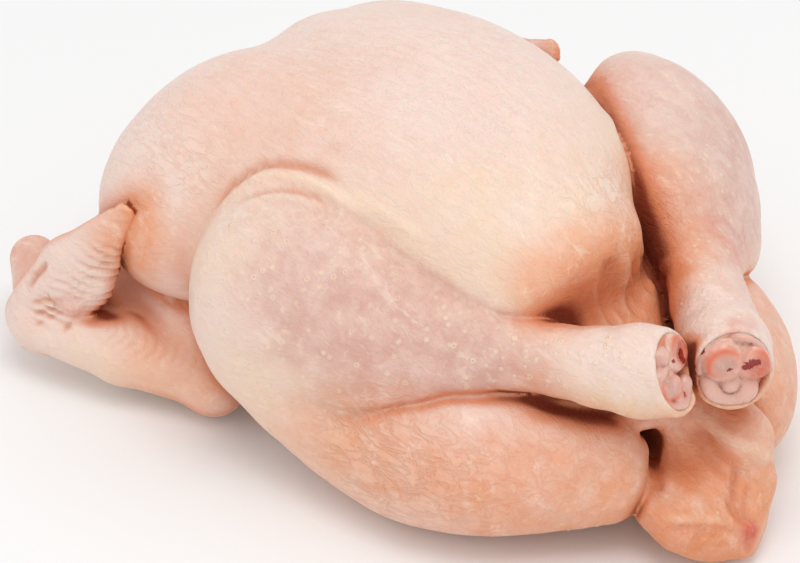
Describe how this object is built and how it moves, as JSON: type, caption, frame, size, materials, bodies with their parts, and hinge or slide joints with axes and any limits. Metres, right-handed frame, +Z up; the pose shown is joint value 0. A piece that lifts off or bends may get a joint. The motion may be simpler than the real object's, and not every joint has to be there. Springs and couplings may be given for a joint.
{
  "type": "whole raw chicken",
  "caption": "Whole raw chicken lying on its back, breast up, with folded wings, drumsticks drawn together over the vent, bared hock joints and a tail.",
  "frame": {"origin": "middle of the underside of the whole bird's box, on the surface it lies on", "axes": "+X towards the bird's left side, +Y towards its neck end, +Z up out of the breast"},
  "size_m": [0.2026, 0.2326, 0.1062],
  "materials": {
    "skin": "moist satin",
    "cartilage": "wet gloss"
  },
  "bodies": {
    "root": {"skin": "skin", "hock_joint_right": "cartilage", "hock_joint_left": "cartilage"}
  },
  "joints": []
}
